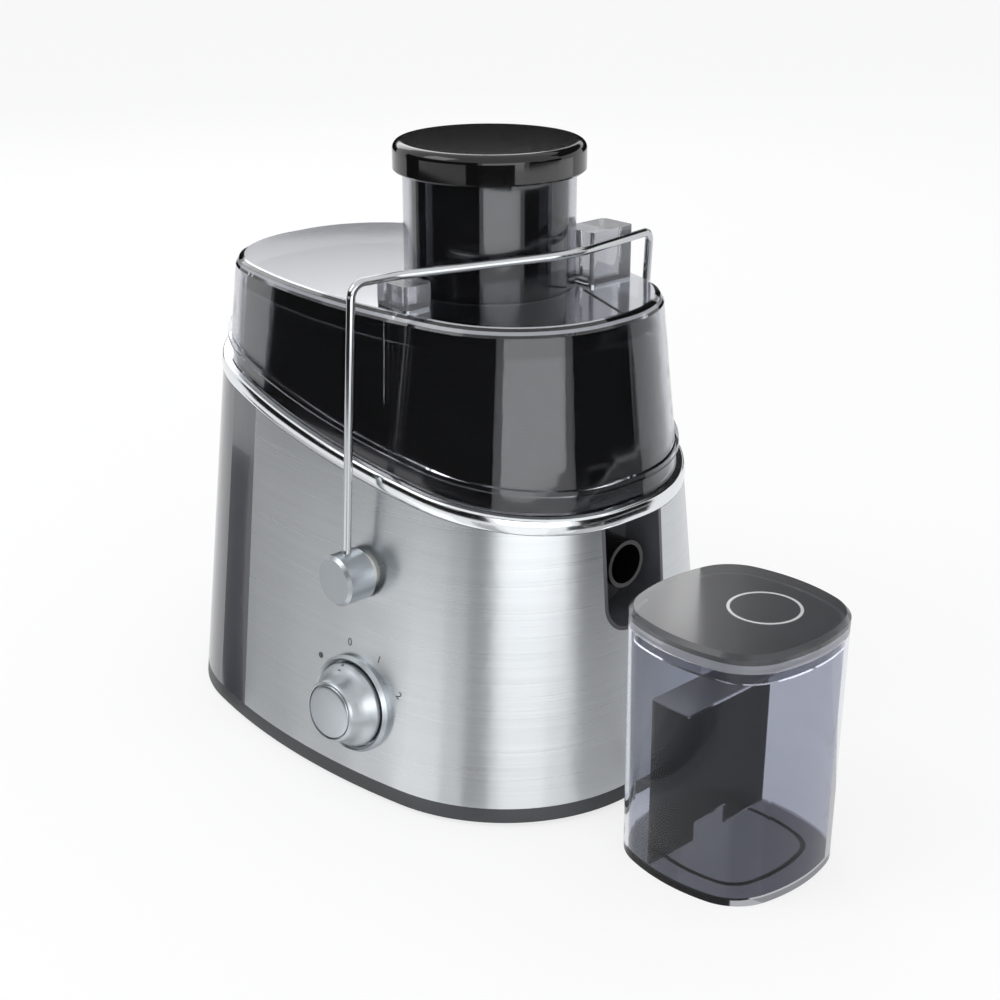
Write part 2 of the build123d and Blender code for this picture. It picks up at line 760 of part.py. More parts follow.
def make_jug():
    place = Pos(jug_x, jug_y, 0)
    inlet = block((-far, -jug_inlet_width / 2, jug_height - jug_inlet_depth), (0, jug_inlet_width / 2, far))
    inlet = fillet(inlet.edges().filter_by(Axis.X).group_by(Axis.Z)[0], jug_inlet_corner)
    inlet = inlet & block((-far, -far, 0), (-jug_half_base / 2, far, jug_height + jug_lid_height / 2))
    body = jug_solid(0, jug_height, 0) - jug_solid(jug_floor, jug_height + overrun, jug_wall)
    save("jug_body", place * (body - inlet))
    low = jug_height + jug_lid_gap
    top = low + jug_lid_height
    lid = loft([oval(jug_sizes(jug_height, 0), low), oval(jug_sizes(jug_height, 0), top - jug_lid_bevel),
                oval(jug_sizes(jug_height, jug_lid_bevel), top)], ruled=True)
    plug_inset = jug_wall + jug_lid_gap
    plug_low = low - jug_lid_plug
    plug = jug_solid(plug_low, low, plug_inset)
    plug -= jug_solid(plug_low - overrun, low, plug_inset + jug_wall)
    lid += plug - inlet
    ring_place = Pos(*ring_offset, 0)
    lid -= ring_place * ring(0, 0, top - ring_depth, top + overrun, ring_radius, ring_radius - ring_width)
    save("jug_lid", place * lid)
    save("jug_lid_ring", place * ring_place * ring(0, 0, top - ring_depth, top, ring_radius,
                                                   ring_radius - ring_width))
    room = jug_solid(jug_floor + jug_lid_gap, separator_top + overrun, jug_wall + jug_lid_gap)
    plate = block((separator_x, -far, 0), (separator_x + separator_wall, far, separator_top))
    plate += block((separator_x, -far, separator_top - separator_wall),
                   (separator_x + separator_flange, far, separator_top))
    notch = block((-far, -separator_notch_width / 2, 0),
                  (far, separator_notch_width / 2, jug_floor + separator_notch_height))
    save("froth_separator", place * ((plate & room) - notch))


make_base()
make_shell()
make_deck()
make_collector()
make_motor()
make_rotor()
make_basket()
make_lid()
make_pusher()
make_bail()
make_knob()
make_gland()
make_jug()

# The frame's origin is the middle of the whole set's footprint, on the counter
box = Compound(children=[Compound(shape.wrapped) for shape in nodes.values()]).bounding_box()
shift = Pos(-(box.min.X + box.max.X) / 2, -(box.min.Y + box.max.Y) / 2, -box.min.Z)
print("frame shift", shift.position)
os.makedirs("parts", exist_ok=True)
for name, shape in nodes.items():
    export_step(shift * shape, f"parts/{name}.step")
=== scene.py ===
import bpy
import json
from math import atan2, cos, hypot, pi, radians, sin, sqrt, tan
from mathutils import Matrix, Vector


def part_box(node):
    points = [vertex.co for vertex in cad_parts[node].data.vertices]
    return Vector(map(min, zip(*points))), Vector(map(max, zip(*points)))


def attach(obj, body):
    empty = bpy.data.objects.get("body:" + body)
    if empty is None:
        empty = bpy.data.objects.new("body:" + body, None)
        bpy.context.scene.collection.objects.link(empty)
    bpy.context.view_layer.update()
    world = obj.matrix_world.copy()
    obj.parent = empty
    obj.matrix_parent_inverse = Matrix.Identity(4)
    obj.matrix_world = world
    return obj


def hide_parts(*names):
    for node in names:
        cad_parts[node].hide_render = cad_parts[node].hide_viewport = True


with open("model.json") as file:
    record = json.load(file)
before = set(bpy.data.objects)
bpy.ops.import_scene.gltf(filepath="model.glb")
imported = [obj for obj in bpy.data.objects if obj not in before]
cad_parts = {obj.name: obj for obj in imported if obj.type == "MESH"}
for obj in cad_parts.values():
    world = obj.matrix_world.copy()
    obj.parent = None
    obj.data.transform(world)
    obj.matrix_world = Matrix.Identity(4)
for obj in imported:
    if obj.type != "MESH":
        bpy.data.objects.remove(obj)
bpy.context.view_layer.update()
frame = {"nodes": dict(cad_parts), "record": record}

nodes = frame["nodes"]
mm = 0.001
print("frame loaded:", len(nodes), "nodes")

# the juicer's own centre line, which every plan outline is drawn about
plateLow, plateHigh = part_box("base_plate")
bodyCentre = Vector(((plateLow[0] + plateHigh[0]) / 2, (plateLow[1] + plateHigh[1]) / 2, 0))


class Wire:  # a shader socket that takes part in sums
    def __init__(self, tree, socket):
        self.tree = tree
        self.socket = socket

    def join(self, operation, first, second):
        node = self.tree.nodes.new("ShaderNodeMath")
        node.operation = operation
        for slot, value in zip(node.inputs, (first, second)):
            if isinstance(value, Wire):
                self.tree.links.new(value.socket, slot)
            else:
                slot.default_value = value
        return Wire(self.tree, node.outputs[0])

    def __add__(self, other):
        return self.join("ADD", self, other)

    def __radd__(self, other):
        return self.join("ADD", other, self)

    def __sub__(self, other):
        return self.join("SUBTRACT", self, other)

    def __rsub__(self, other):
        return self.join("SUBTRACT", other, self)

    def __mul__(self, other):
        return self.join("MULTIPLY", self, other)

    def __rmul__(self, other):
        return self.join("MULTIPLY", other, self)

    def __gt__(self, other):
        return self.join("GREATER_THAN", self, other)

    def __lt__(self, other):
        return self.join("LESS_THAN", self, other)


class Finish:  # one node-built material, or the world's own nodes
    def __init__(self, name, tree=None):
        self.material = None
        if tree is None:
            self.material = bpy.data.materials.new(name)
            self.material.use_nodes = True
            tree = self.material.node_tree
        self.tree = tree
        tree.nodes.clear()

    def add(self, kind, settings=None, inputs=None):
        node = self.tree.nodes.new(kind)
        for key, value in (settings or {}).items():
            if key == "stops":
                while len(node.color_ramp.elements) < len(value):
                    node.color_ramp.elements.new(0.5)
                for element, (place, colour) in zip(node.color_ramp.elements, value):
                    element.position = place
                    element.color = (*colour, 1)
            else:
                setattr(node, key, value)
        for key, value in (inputs or {}).items():
            slot = node.inputs[key]
            if isinstance(value, Wire):
                self.tree.links.new(value.socket, slot)
            elif slot.type == "RGBA":
                slot.default_value = (*value, 1)
            else:
                slot.default_value = value
        return {out.identifier: Wire(self.tree, out) for out in node.outputs}

    def place(self, scale=(1, 1, 1)):
        # object space in metres, stretched per axis
        coords = self.add("ShaderNodeTexCoord")["Object"]
        return self.add("ShaderNodeMapping", None, {"Vector": coords, "Scale": scale})["Vector"]

    def noise(self, scale, detail, stretch=(1, 1, 1), roughness=0.55):
        inputs = {"Vector": self.place(stretch), "Scale": scale, "Detail": detail, "Roughness": roughness}
        return self.add("ShaderNodeTexNoise", {"noise_dimensions": "3D"}, inputs)["Fac"]

    def shade(self, low, high, factor):
        # blend of two colours along a value
        stops = {"stops": [(0.0, low), (1.0, high)]}
        return self.add("ShaderNodeValToRGB", stops, {"Fac": factor})["Color"]

    def bump(self, height, strength, distance):
        inputs = {"Height": height, "Strength": strength, "Distance": distance}
        return self.add("ShaderNodeBump", None, inputs)["Normal"]

    def seen(self):
        # one where the camera, a mirror or clear plastic looks, else nought
        rays = self.add("ShaderNodeLightPath")
        return (rays["Is Camera Ray"] + rays["Is Glossy Ray"] + rays["Is Transmission Ray"]) > 0.5

    def glow(self, tone):
        inputs = {"Color": (tone, tone, tone), "Strength": 1.0}
        return self.add("ShaderNodeEmission", None, inputs)["Emission"]

    def mix(self, factor, first, second):
        inputs = {"Fac": factor, "Shader": first, "Shader_001": second}
        return self.add("ShaderNodeMixShader", None, inputs)["Shader"]

    def principled(self, **inputs):
        named = {key.replace("_", " "): value for key, value in inputs.items()}
        return self.add("ShaderNodeBsdfPrincipled", None, named)["BSDF"]

    def output(self, surface):
        self.add("ShaderNodeOutputMaterial", None, {"Surface": surface})
        return self.material


def scaled(values, share):
    return [value * share for value in values]


def around(middle, grain, spread):
    # a value that strays evenly about its middle along a noise
    return middle + (grain - 0.5) * spread


# Finishes
def brushedSteel(name, light, dark, roughness, streak=(9, 9, 1500), anisotropy=0.75):
    # fine streaks over broader ones and a soft cloud
    broadStretch = 0.16
    fineShare, broadShare, cloudShare = 0.5, 0.35, 0.15
    made = Finish(name)
    fine = made.noise(scale=1.0, detail=2.0, stretch=streak)
    broad = made.noise(scale=1.0, detail=2.0, stretch=scaled(streak, broadStretch))
    cloud = made.noise(scale=14.0, detail=2.0)
    tone = fine * fineShare + broad * broadShare + cloud * cloudShare
    surface = made.principled(
        Base_Color=made.shade(dark, light, tone), Metallic=1.0,
        Roughness=around(roughness, fine, spread=0.16), Anisotropic=anisotropy, Anisotropic_Rotation=0.25,
        Normal=made.bump(fine, strength=0.06, distance=0.0004))
    return made.output(surface)


def chromed(name, colour, roughness):
    made = Finish(name)
    smudge = made.noise(scale=60.0, detail=4.0)
    grain = made.noise(scale=900.0, detail=2.0)
    surface = made.principled(
        Base_Color=made.shade(scaled(colour, 0.93), colour, smudge), Metallic=1.0,
        Roughness=roughness + smudge * 0.05, Normal=made.bump(grain, strength=0.02, distance=0.0001))
    return made.output(surface)


def satinMetal(name, light, dark, roughness):
    cloudShare, blastShare = 0.6, 0.4
    made = Finish(name)
    blast = made.noise(scale=2600.0, detail=2.0)
    cloud = made.noise(scale=45.0, detail=3.0)
    surface = made.principled(
        Base_Color=made.shade(dark, light, cloud * cloudShare + blast * blastShare), Metallic=1.0,
        Roughness=around(roughness, blast, spread=0.12),
        Normal=made.bump(blast, strength=0.05, distance=0.0002))
    return made.output(surface)


def moulded(name, colour, roughness, texture, depth, coat=0.0, lift=1.25):
    # plastic or rubber with a fine texture, clouded between a darker and a lighter tone
    made = Finish(name)
    grain = made.noise(scale=texture, detail=3.0)
    cloud = made.noise(scale=30.0, detail=3.0)
    surface = made.principled(
        Base_Color=made.shade(scaled(colour, 0.85), scaled(colour, lift), cloud),
        Roughness=around(roughness, grain, spread=0.1), Coat_Weight=coat, Coat_Roughness=0.04,
        Normal=made.bump(grain, strength=depth, distance=0.0003))
    return made.output(surface)


def smokeClear(name, tint, veilColour, veil, bend=1.49, foot=None, bands=()):
    # clear tinted plastic under a thin milky veil
    # a foot of deeper tint and bands between two levels, denser skin or a painted highlight or sheen, are
    # optional
    made = Finish(name)
    flow = made.noise(scale=18.0, detail=3.0)
    speck = made.noise(scale=700.0, detail=2.0)
    height = made.add("ShaderNodeSeparateXYZ", None, {"Vector": made.place()})["Z"]
    if foot:
        colour = made.shade(foot["tint"], tint, (height > foot["level"]) * (0.85 + flow * 0.15))
    else:
        colour = made.shade(scaled(tint, 0.95), tint, flow)
    surface = made.principled(
        Base_Color=colour, Roughness=0.03 + speck * 0.02, IOR=bend, Transmission_Weight=1.0,
        Normal=made.bump(flow, strength=0.012, distance=0.0006))
    milky = made.principled(
        Base_Color=made.shade(scaled(veilColour, 0.85), veilColour, flow), Roughness=0.16 + speck * 0.01)
    surface = made.mix(veil, surface, milky)
    for band in bands:
        denseOrSheen = made.principled(
            Base_Color=made.shade(scaled(band["colour"], 0.9), band["colour"], flow),
            Metallic=band["metallic"], Roughness=band["roughness"] + speck * 0.02)
        share = (height > band["low"]) * (height < band["high"]) * band["share"]
        surface = made.mix(share, surface, denseOrSheen)
    return made.output(surface)


def printedInk(name, colour):
    made = Finish(name)
    speck = made.noise(scale=1500.0, detail=2.0)
    surface = made.principled(
        Base_Color=made.shade(colour, scaled(colour, 1.4), speck), Roughness=0.5 + speck * 0.1)
    return made.output(surface)


def stacked(name, dark, light, scale, distortion, metallic, roughness, spread, strength, distance):
    # wires or sheets that lie on one another, as bands up the height
    made = Finish(name)
    inputs = {"Vector": made.place(), "Scale": scale, "Distortion": distortion}
    layers = made.add("ShaderNodeTexWave", {"wave_type": "BANDS", "bands_direction": "Z"}, inputs)["Fac"]
    surface = made.principled(
        Base_Color=made.shade(dark, light, layers), Metallic=metallic,
        Roughness=roughness + layers * spread, Normal=made.bump(layers, strength, distance))
    return made.output(surface)


def denseOrSheenBand(level, low, high, share, colour, roughness, metallic=0.0):
    # denser skin of clear plastic, or a painted highlight or sheen, between two heights, in millimetres
    # from a level
    return {"low": level + low * mm, "high": level + high * mm, "share": share, "colour": colour,
            "roughness": roughness, "metallic": metallic}


# the lid's rim shows a pale line, a painted highlight along its edge; its top shines and its lugs are
# denser than the skirt
rimLevel = 231.0 * mm
lidDenseAndHighlightBands = [
    # painted highlight: a pale line along the rim's edge
    denseOrSheenBand(rimLevel, low=-2.8, high=-1.4, share=0.55, colour=(0.5, 0.52, 0.56), roughness=0.2),
    denseOrSheenBand(rimLevel, low=-0.4, high=1.2, share=0.6, colour=(0.76, 0.785, 0.83), roughness=0.1,
              metallic=1.0),
    denseOrSheenBand(rimLevel, low=1.2, high=30, share=0.2, colour=(0.5, 0.51, 0.55), roughness=0.12),
]
# the jug's lid is dark on top and lighter on the lower half of its skirt
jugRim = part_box("jug_lid")[1][2]
jugLidBands = [
    denseOrSheenBand(jugRim, low=-4.2, high=1, share=0.9, colour=(0.036, 0.037, 0.041), roughness=0.22),
    denseOrSheenBand(jugRim, low=-8.1, high=-4.2, share=0.75, colour=(0.2, 0.207, 0.235), roughness=0.2),
]
# the jug's floor is deeper in tint, and the separator's top edge is painted pale, a painted sheen of light
# from above
jugFoot = {"tint": (0.16, 0.164, 0.188), "level": 3.2 * mm}
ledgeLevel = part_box("froth_separator")[1][2]
# painted sheen: the separator's top edge drawn pale as if lit from above
ledgeSheenBands = [denseOrSheenBand(ledgeLevel, low=-0.6, high=1, share=0.8, colour=(0.3, 0.315, 0.35), roughness=0.3)]

finishes = {
    "brushed_panel": brushedSteel(
        "brushedPanel", light=(0.655, 0.68, 0.7), dark=(0.443, 0.465, 0.485), roughness=0.3),
    "chrome_trim": chromed("trimChrome", colour=(0.79, 0.82, 0.84), roughness=0.1),
    "chrome_wire": chromed("bailChrome", colour=(0.55, 0.57, 0.585), roughness=0.12),
    "satin_metal": satinMetal(
        "satinAlloy", light=(0.485, 0.52, 0.55), dark=(0.4, 0.428, 0.452), roughness=0.35),
    "grey_gloss_plastic": moulded(
        "housingGloss", colour=(0.055, 0.057, 0.066), roughness=0.16, texture=1400.0, depth=0.003,
        coat=0.4),
    "dark_plastic": moulded(
        "baseBand", colour=(0.036, 0.038, 0.042), roughness=0.45, texture=1700.0, depth=0.2),
    "black_plastic": moulded(
        "innerBlack", colour=(0.012, 0.012, 0.013), roughness=0.4, texture=1500.0, depth=0.14),
    "black_gloss_plastic": moulded(
        "pusherGloss", colour=(0.004, 0.0037, 0.0036), roughness=0.07, texture=900.0, depth=0.006),
    "rubber": moulded(
        "footRubber", colour=(0.018, 0.018, 0.018), roughness=0.75, texture=1200.0, depth=0.3),
    "zinc_steel": satinMetal(
        "zincSteel", light=(0.62, 0.62, 0.58), dark=(0.5, 0.5, 0.48), roughness=0.35),
    "bearing_steel": satinMetal(
        "groundSteel", light=(0.7, 0.7, 0.7), dark=(0.6, 0.6, 0.6), roughness=0.2),
    "bracket_alloy": satinMetal(
        "castBracket", light=(0.56, 0.56, 0.56), dark=(0.42, 0.42, 0.43), roughness=0.45),
    "basket_steel": brushedSteel(
        "basketSteel", light=(0.7, 0.7, 0.7), dark=(0.55, 0.55, 0.56), roughness=0.26,
        streak=(40, 40, 1200), anisotropy=0.4),
    "lamination_steel": stacked(
        "laminations", dark=(0.05, 0.05, 0.055), light=(0.3, 0.3, 0.32), scale=620.0, distortion=0.2,
        metallic=0.9, roughness=0.42, spread=0.1, strength=0.4, distance=0.0003),
    "copper_winding": stacked(
        "copperWinding", dark=(0.16, 0.05, 0.02), light=(0.62, 0.27, 0.12), scale=420.0, distortion=0.6,
        metallic=0.8, roughness=0.34, spread=0.0, strength=0.5, distance=0.0004),
    "brass_holder": satinMetal(
        "brassHolder", light=(0.72, 0.55, 0.26), dark=(0.55, 0.4, 0.17), roughness=0.3),
    "white_nylon": moulded(
        "whiteNylon", colour=(0.62, 0.62, 0.58), roughness=0.4, texture=1200.0, depth=0.08, lift=1.1),
    "pointer_paint": printedInk("pointerPaint", colour=(0.05, 0.05, 0.055)),
    "smoke_clear": smokeClear(
        "smokeLid", tint=(0.56, 0.57, 0.61), veilColour=(0.62, 0.64, 0.69), veil=0.006, bands=lidDenseAndHighlightBands),
    "smoke_lid": smokeClear(
        "jugLidSmoke", tint=(0.4, 0.41, 0.45), veilColour=(0.26, 0.27, 0.3), veil=0.05, bend=1.25,
        bands=jugLidBands),
}
# finishes of single solids, in place of their slot's own
ownFinishes = {
    "feed_tube": smokeClear(
        "tubeSmoke", tint=(0.47, 0.48, 0.52), veilColour=(0.62, 0.64, 0.69), veil=0.006),
    "jug_body": smokeClear(
        "jugSmoke", tint=(0.625, 0.645, 0.715), veilColour=(0.26, 0.27, 0.3), veil=0.01, bend=1.22,
        foot=jugFoot),
    "froth_separator": smokeClear(
        "separatorSmoke", tint=(0.03, 0.031, 0.036), veilColour=(0.03, 0.031, 0.036), veil=0.04, bend=1.12,
        bands=ledgeSheenBands),
    "jug_lid_ring": satinMetal(
        "ringSatin", light=(0.86, 0.87, 0.88), dark=(0.76, 0.77, 0.78), roughness=0.42),
    "notch_liner": moulded(
        "linerGrey", colour=(0.085, 0.087, 0.095), roughness=0.32, texture=1200.0, depth=0.08),
}
dialInkAndRecessShade = printedInk("dialInkAndRecessShade", colour=(0.05, 0.052, 0.06))
lidSeamInk = printedInk("lidSeam", colour=(0.03, 0.03, 0.036))

slotOf = {part["node"]: part["material_slot"] for part in frame["record"]["subparts"]}
for nodeName, node in nodes.items():
    node.data.materials.clear()
    node.data.materials.append(ownFinishes.get(nodeName, finishes[slotOf[nodeName]]))
print("finishes on the solids done")

# Camera at the photograph's viewing angle
view = {
    "offset": (619.4, -538.9, 436.2), "heading": (-0.6794, 0.6341, -0.3697), "lens": 61.93, "sensor": 36.0,
    "near": 0.01,
}
cameraData = bpy.data.cameras.new("photoCamera")
cameraData.lens = view["lens"]
cameraData.sensor_width = view["sensor"]
cameraData.clip_start = view["near"]
camera = bpy.data.objects.new("photoCamera", cameraData)
camera.location = bodyCentre + Vector(view["offset"]) * mm
camera.rotation_euler = Vector(view["heading"]).to_track_quat("-Z", "Y").to_euler()
bpy.context.scene.collection.objects.link(camera)
bpy.context.scene.camera = camera
bpy.context.scene.view_settings.view_transform = "Standard"

# Soft studio light, white surroundings and a pale floor
surroundings = {
    "soft": {"Color": (0.98, 0.985, 1.0), "Strength": 0.85},
    "white": {"Color": (1, 1, 1), "Strength": 1.0},
}
world = bpy.data.worlds.new("studio")
bpy.context.scene.world = world
world.use_nodes = True
sky = Finish("studio", world.node_tree)
soft = sky.add("ShaderNodeBackground", None, surroundings["soft"])["Background"]
white = sky.add("ShaderNodeBackground", None, surroundings["white"])["Background"]
sky.add("ShaderNodeOutputWorld", None, {"Surface": sky.mix(sky.seen(), soft, white)})

# the last lamp only gives the jug's lid its pale sheen
lamps = {
    "keySoftbox": {
        "at": (-0.55, -1.15, 1.35), "aim": (0.0, 0.0, 0.12), "size": (0.9, 0.9), "power": 7.0},
    "noseSoftbox": {
        "at": (0.85, -0.44, 0.26), "aim": (-0.02, -0.02, 0.22), "size": (0.86, 0.5), "power": 2.6},
    "backSoftbox": {
        "at": (-1.45, 0.7, 1.05), "aim": (0.0, 0.0, 0.2), "size": (1.3, 0.7), "power": 5.0},
    "jugLidSoftbox": {
        "at": (0.0962, 0.0068, 0.1427), "aim": (0.1693, -0.0615, 0.1427), "size": (0.036, 0.0432),
        "power": 0.0117, "sheenOnly": True},
}
for lampName, facts in lamps.items():
    lampData = bpy.data.lights.new(lampName, "AREA")
    lampData.shape = "RECTANGLE"
    lampData.size, lampData.size_y = facts["size"]
    lampData.energy = facts["power"]
    lamp = bpy.data.objects.new(lampName, lampData)
    lamp.location = facts["at"]
    heading = Vector(facts["aim"]) - Vector(facts["at"])
    lamp.rotation_euler = heading.to_track_quat("-Z", "Y").to_euler()
    lamp.visible_camera = False
    if facts.get("sheenOnly"):
        lamp.visible_diffuse = False
        lamp.visible_transmission = False
    bpy.context.scene.collection.objects.link(lamp)


def paintedReflectionGlow(name, tone):
    # glowing card of an even tone, which reflections see as it is written: a painted reflection, glowing
    # though it is no lamp
    made = Finish(name)
    return made.output(made.glow(tone))


def stageMesh(name, corners, faces, finish):
    mesh = bpy.data.meshes.new(name)
    mesh.from_pydata(corners, [], faces)
    mesh.materials.append(finish)
    thing = bpy.data.objects.new(name, mesh)
    bpy.context.scene.collection.objects.link(thing)
    return thing


def paleFloor(name, colour, share):
    # pale ground that shows partly as the white background, and keeps the shadow
    made = Finish(name)
    cloud = made.noise(scale=3.0, detail=2.0)
    ground = made.principled(
        Base_Color=made.shade(scaled(colour, 0.99), colour, cloud), Roughness=0.6, Specular_IOR_Level=0.0)
    return made.output(made.mix(made.seen() * share, ground, made.glow(1.0)))


# the floor lies just clear of the feet and the jug, so that no two faces share a level
floor = {"reach": 6.0, "level": -0.1 * mm, "colour": (0.9, 0.9, 0.905), "whiteShare": 0.75}
floorCorners = []
for turnX, turnY in ((-1, -1), (1, -1), (1, 1), (-1, 1)):
    floorCorners.append((floor["reach"] * turnX, floor["reach"] * turnY, floor["level"]))
floorFinish = paleFloor("floorPale", floor["colour"], floor["whiteShare"])
stageMesh("floor", floorCorners, [(0, 1, 2, 3)], floorFinish)

# plan of the body's skin at the floor and at the slanted parting line
# each plan has half its length, half its depth and the radii of its side, end and corner arcs
outline = {
    "base": (142.5, 101.5, 390.0, 520.0, 84.0), "waist": (128.8, 83.6, 362.0, 470.0, 72.0),
    "waistLevel": 166.5, "tilt": 9.1, "endSteps": 6, "cornerSteps": 18, "sideSteps": 14,
}


def sizesAt(level):
    # the body's plan at a height in millimetres
    share = level / outline["waistLevel"]
    return [low + (high - low) * share for low, high in zip(outline["base"], outline["waist"])]


def ovalLoop(sizes):
    # points and outward normals about a plan of side, end and corner arcs
    halfLength, halfDepth, side, end, corner = sizes
    endX = halfLength - end
    sideY = halfDepth - side
    span = hypot(endX, sideY)
    along = ((side - corner) ** 2 - (end - corner) ** 2 + span ** 2) / (2 * span)
    across = sqrt((side - corner) ** 2 - along ** 2)
    unit = Vector((endX / span, -sideY / span))
    middles = []
    for turn in (1, -1):
        middleX = along * unit.x + turn * across * unit.y
        middles.append(Vector((middleX, sideY + along * unit.y - turn * across * unit.x)))
    middle = max(middles, key=lambda spot: spot.x)
    toEnd = atan2(middle.y, middle.x - endX)
    toSide = atan2(middle.y - sideY, middle.x)
    arcs = (
        ((endX, 0), end, 0, toEnd, outline["endSteps"]),
        (middle, corner, toEnd, toSide, outline["cornerSteps"]),
        ((0, sideY), side, toSide, pi / 2, outline["sideSteps"]),
    )
    quarter = []
    for centre, radius, low, high, count in arcs:
        for step in range(count + (high == pi / 2)):
            angle = low + (high - low) * step / count
            normal = Vector((cos(angle), sin(angle)))
            quarter.append((Vector(centre) + normal * radius, normal))
    loop = list(quarter)
    for turnX, turnY, order in ((-1, 1, -1), (-1, -1, 1), (1, -1, -1)):
        for spot, normal in quarter[::order][1:]:
            mirrored = Vector((spot.x * turnX, spot.y * turnY))
            loop.append((mirrored, Vector((normal.x * turnX, normal.y * turnY))))
    return loop[:-1]


def reflectionOnly(name, corners, tone):
    # ribbon between pairs of corners that only reflections and clear plastic see; it glows at its tone and
    # paints a reflection onto shiny parts
    faces = [(i, i + 2, i + 3, i + 1) for i in range(0, len(corners) - 2, 2)]
    card = stageMesh(name, corners, faces, paintedReflectionGlow(name, tone))
    card.visible_camera = False
    card.visible_diffuse = False
    card.visible_shadow = False
    return card


# flags and cards that stand curved about the juicer, in degrees and metres; each glows at its tone, dark or
# bright, as a painted reflection in the shiny parts
flags = {
    "flagLeft": {"from": -152, "to": -53, "radius": 0.62, "low": 0.06, "high": 0.5, "tone": 0.008},
    "flagRight": {"from": 2, "to": 44, "radius": 0.66, "low": 0.046, "high": 0.38, "tone": 0.008},
    "flagBack": {"from": 95, "to": 178, "radius": 3.0, "low": 0.0, "high": 0.9, "tone": 0.008},
    "flagHigh": {"from": 50, "to": 124.5, "radius": 2.4, "low": 1.08, "high": 2.6, "tone": 0.02},
    "flagCap": {"from": -62, "to": -14, "radius": 0.3, "low": 0.236, "high": 0.262, "tone": 0.008},
    "cardCapLeft": {"from": -122, "to": -62, "radius": 0.3, "low": 0.236, "high": 0.25, "tone": 1.0},
    "cardCapRight": {"from": -14, "to": 58, "radius": 0.3, "low": 0.236, "high": 0.25, "tone": 1.9},
}
flagSteps = 24
for flagName, facts in flags.items():
    corners = []
    for step in range(flagSteps + 1):
        angle = radians(facts["from"] + (facts["to"] - facts["from"]) * step / flagSteps)
        spot = bodyCentre + Vector((cos(angle), sin(angle), 0)) * facts["radius"]
        corners += [(spot.x, spot.y, facts["low"]), (spot.x, spot.y, facts["high"])]
    reflectionOnly(flagName, corners, facts["tone"])

# strips on the floor, each along what the body's skin mirrors between two of its facing directions; each
# glows at its tone and paints a dark or bright reflected band onto the panel and lid
strips = {
    "stripSeam": {"from": -100.2, "to": -97.0, "tone": 0.004},
    "stripPanelEnd": {"from": -97.0, "to": -90, "tone": 0.6},
    "stripPanelSide": {"from": -90, "to": -84, "tone": 0.75},
    "stripPanelBright": {"from": -80, "to": -64, "tone": 1.3},
    "stripPanelDark": {"from": -57, "to": -48.5, "tone": 0.5},
    "stripCorner": {"from": -46, "to": -30, "tone": 1.2},
    "stripNose": {"from": -20, "to": 0, "tone": 0.6, "reach": (0.012, 0.36)},
    "stripLidNose": {"from": -24, "to": 2, "tone": 0.01, "reach": (0.38, 0.75)},
}
stripReach = (0.012, 0.55)
stripLevel = 0.5 * mm
stripSteps = 8


def outlineSpot(angle):
    # point of the base outline that faces a direction
    facing = Vector((cos(angle), sin(angle)))
    return max(ovalLoop(outline["base"]), key=lambda pair: pair[1].dot(facing))[0]


for stripName, facts in strips.items():
    corners = []
    for step in range(stripSteps + 1):
        facing = radians(facts["from"] + (facts["to"] - facts["from"]) * step / stripSteps)
        spot = outlineSpot(facing) * mm
        normal = Vector((cos(facing), sin(facing)))
        sight = (spot - Vector(view["offset"][:2]) * mm).normalized()
        away = sight - normal * (2 * sight.dot(normal))
        for reach in facts.get("reach", stripReach):
            corner = spot + away * reach
            corners.append((bodyCentre.x + corner.x, bodyCentre.y + corner.y, stripLevel))
    reflectionOnly(stripName, corners, facts["tone"]).visible_transmission = False

# the brushed panel stays clear of the jug's image
for nodeName in ("jug_body", "jug_lid", "froth_separator"):
    nodes[nodeName].visible_glossy = False
print("camera, light and floor done")


# Pieces with more surface detail than the solids
skyward = Vector((0, 0, 1))


def toRow(point):
    # millimetres about the juicer's centre to metres in the frame
    return bodyCentre + Vector(point) * mm


def placed(point, right, up, out):
    # place at a point, with its own three directions
    return Matrix.Translation(toRow(point)) @ Matrix((right, up, out)).transposed().to_4x4()


def meshPiece(name, skin, body, slotName, finish=None, sharp=35):
    # piece from corners and faces, in its slot's finish unless it has its own
    corners, faces = skin
    mesh = bpy.data.meshes.new(name)
    mesh.from_pydata(corners, [], faces)
    mesh.validate()
    mesh.polygons.foreach_set("use_smooth", [True] * len(mesh.polygons))
    mesh.set_sharp_from_angle(angle=radians(sharp))
    mesh.materials.append(finish or finishes[slotName])
    piece = bpy.data.objects.new(name, mesh)
    bpy.context.scene.collection.objects.link(piece)
    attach(piece, body)
    return piece


def bridged(lower, upper, count):
    # faces between two rings of equal length, each given by its place in the row of rings
    faces = []
    for step in range(count):
        after = (step + 1) % count
        faces.append((lower * count + step, lower * count + after,
                      upper * count + after, upper * count + step))
    return faces


def stitched(rings):
    # closed skin through rings of equal length, with a face on each end ring
    count = len(rings[0])
    last = len(rings) - 1
    faces = [tuple(reversed(range(count)))]
    for level in range(last):
        faces += bridged(level, level + 1, count)
    faces.append(tuple(range(last * count, len(rings) * count)))
    return [corner for ring in rings for corner in ring], faces


def looped(rings, inward=False):
    # closed skin through rings of equal length, with the last joined to the first
    # inward says that the rings run the other way about their section
    faces = []
    for level in range(len(rings)):
        faces += bridged(level, (level + 1) % len(rings), len(rings[0]))
    if inward:
        faces = [face[::-1] for face in faces]
    return [corner for ring in rings for corner in ring], faces


def turnedRings(profile, place, steps=96):
    # rings of a turned profile, given as pairs of radius and height
    angles = [2 * pi * step / steps for step in range(steps)]
    rings = []
    for radius, height in profile:
        spots = [(radius * cos(angle), radius * sin(angle), height) for angle in angles]
        rings.append([place @ (Vector(spot) * mm) for spot in spots])
    return rings


